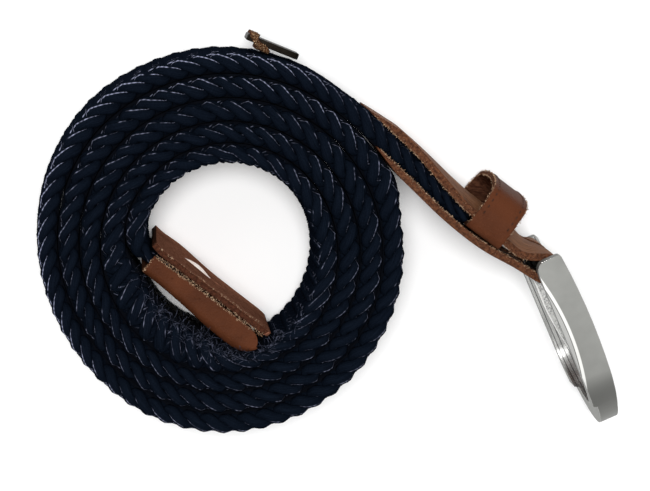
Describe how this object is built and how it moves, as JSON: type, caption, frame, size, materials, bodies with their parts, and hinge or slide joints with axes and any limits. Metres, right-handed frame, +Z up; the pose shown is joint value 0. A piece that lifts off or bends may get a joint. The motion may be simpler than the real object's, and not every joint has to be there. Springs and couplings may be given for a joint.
{
  "type": "woven belt",
  "caption": "Braided fabric belt rolled up and standing on its edge, with leather ends, a leather keeper and a D-shaped metal buckle with a turning prong.",
  "frame": {"origin": "middle of the belt's footprint on the surface it stands on", "axes": "+Z up along the belt's width, +X from the coil towards the buckle"},
  "size_m": [0.1484, 0.101, 0.0424],
  "materials": {
    "navy_braid": "waxed braid",
    "tan_leather": "smooth, oiled",
    "satin_metal": "satin",
    "polished_metal": "polished",
    "dark_metal": "dark antique"
  },
  "bodies": {
    "belt": {"woven_band": "navy_braid", "buckle_strap": "tan_leather", "keeper_loop": "tan_leather", "tip_cover": "tan_leather", "tip_panel": "tan_leather", "side_plate": "dark_metal", "side_loop": "tan_leather"},
    "frame": {"buckle_frame": "satin_metal"},
    "prong": {"buckle_prong": "polished_metal"}
  },
  "joints": [
    {"name": "frame_hinge", "type": "hinge", "parent": "belt", "child": "frame", "pos_m": [0.05334, -0.00852, 0.0212], "axis": [0, 0, 1], "range_deg": [-60, 90]},
    {"name": "prong_hinge", "type": "hinge", "parent": "frame", "child": "prong", "pos_m": [0.05334, -0.00852, 0.0212], "axis": [0, 0, 1], "range_deg": [0, 40]}
  ]
}
